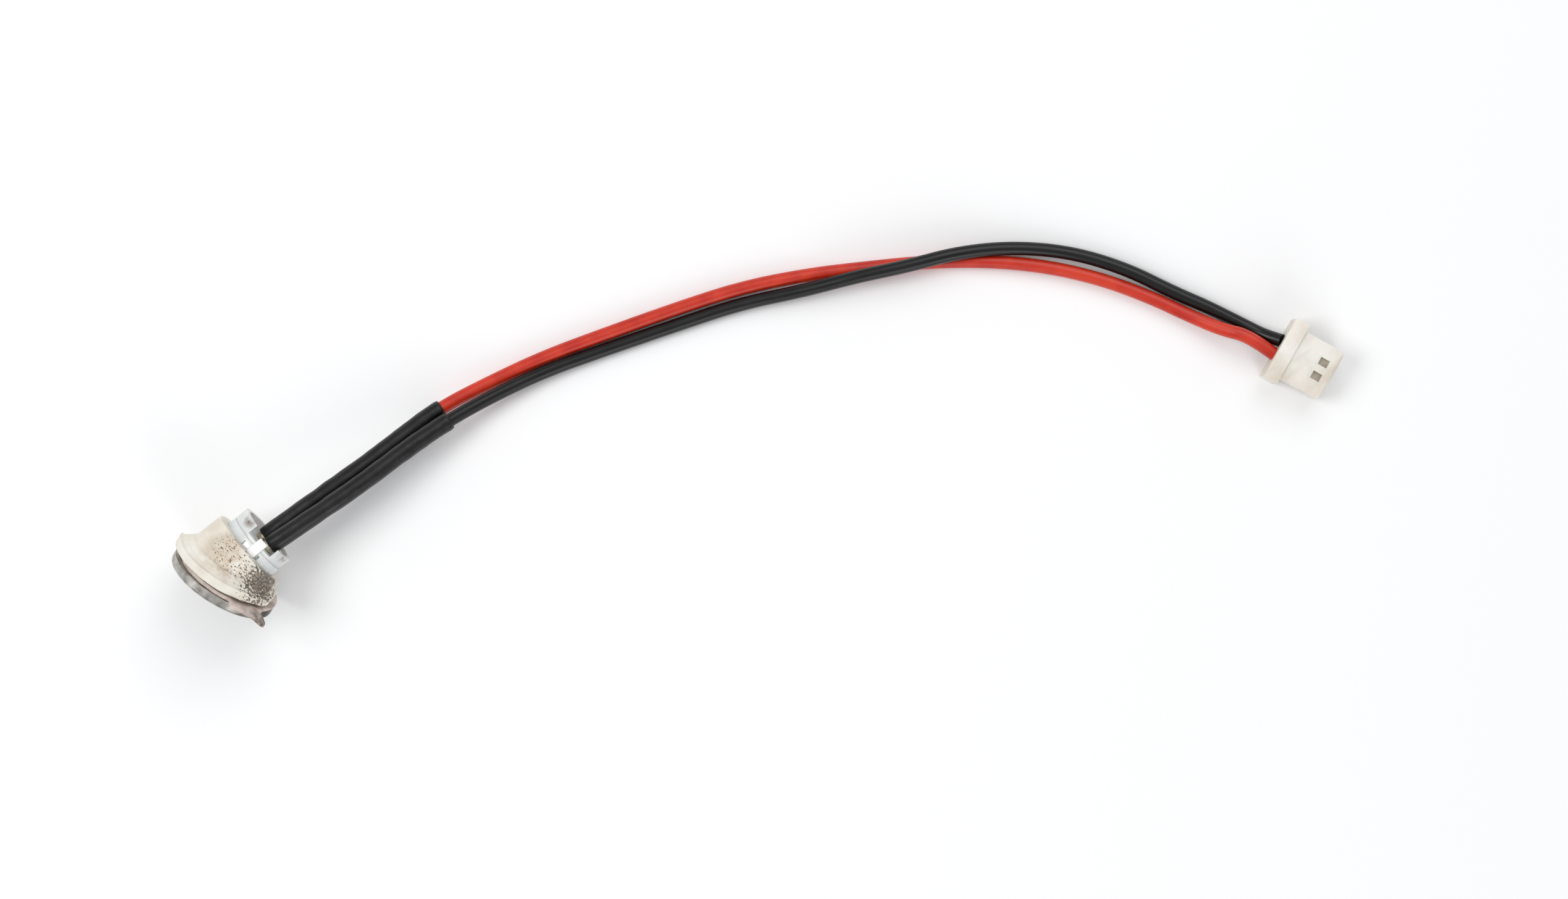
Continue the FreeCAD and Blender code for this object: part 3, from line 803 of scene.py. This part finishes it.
# painted shade: faint darker streaks along the plug stand in for shallow recesses in its top face
recess_shade_grain = nylon.noise(700.0, 2.0, (0.25, 1.0, 0.4), (0.0, 0.0, PLUG_TURN))
nylon_recess_shade = nylon.math("MULTIPLY", nylon.mask(recess_shade_grain, 0.5, 0.7), 0.45)
nylon.colour(nylon.blend(nylon_recess_shade, nylon.plain, tone(206, 194, 172)))
sleeve_black = moulding("shrunk_tube", tone(6, 6, 5), tone(24, 22, 20), (0.26, 0.46), 650.0,
                        depth=0.00006)
sleeve_black.set("Specular IOR Level", 0.4)
red = moulding("red_insulation", tone(186, 34, 12), tone(206, 52, 22), (0.3, 0.42), 500.0)
black = moulding("black_insulation", tone(5, 5, 5), tone(14, 14, 14), (0.26, 0.4), 500.0)
black.set("Specular IOR Level", 0.4)
film = moulding("thin_film", tone(206, 200, 178), tone(226, 220, 200), (0.4, 0.55), 900.0)
magnet = moulding("sintered_magnet", tone(44, 44, 46), tone(74, 74, 78), (0.5, 0.7), 2500.0)
circuit = moulding("flexible_circuit", tone(120, 84, 34), tone(160, 118, 52), (0.35, 0.5),
                   1600.0)
resin = moulding("moulded_resin", tone(34, 34, 37), tone(58, 58, 62), (0.4, 0.6), 1500.0)
MOULDINGS = (milky, white, nylon, sleeve_black, red, black, film, magnet, circuit, resin)
print("mouldings", len(MOULDINGS))

# %% [markdown]
# ## Which piece gets what
#
# The reshaped pieces are painted one by one. Pieces that kept their plain CAD shape, most of them
# sealed inside the can, are looked up by name.

# %% Give every piece its finish
paint(cap, milky)
paint(strap, white)
paint(plug, nylon)
paint(wire_red, red)
paint(wire_black, black)
for sleeve in (red_sleeve, black_sleeve):
    paint(sleeve, sleeve_black)
for joint in joints:
    paint(joint, solder)
FINISH_OF = {
    "can": steel, "base_cup": steel, "shaft": bright_steel, "retaining_band": bright_steel,
    "upper_thrust_washer": film, "lower_thrust_washer": film, "ring_magnet": magnet,
    "feeder_circuit": circuit, "commutator_board": circuit, "brush_a": contact_metal,
    "brush_b": contact_metal, "stub_pin": contact_metal, "terminal_positive": contact_metal,
    "terminal_negative": contact_metal, "contact_red": contact_metal,
    "contact_black": contact_metal,
    "rotor_frame": resin, "coil_a": copper, "coil_b": copper, "counterweight": heavy_metal,
    "bearing_bush": copper,
}
for node, finish in FINISH_OF.items():
    for place in nodes_by_name[node].material_slots:
        place.material = finish.material
print("nodes with finishes", len(FINISH_OF))

# %% [markdown]
# ## Last update
#
# The view layer is updated once more. The visual model must stay inside the CAD model's
# box.

# %% End
bpy.context.view_layer.update()
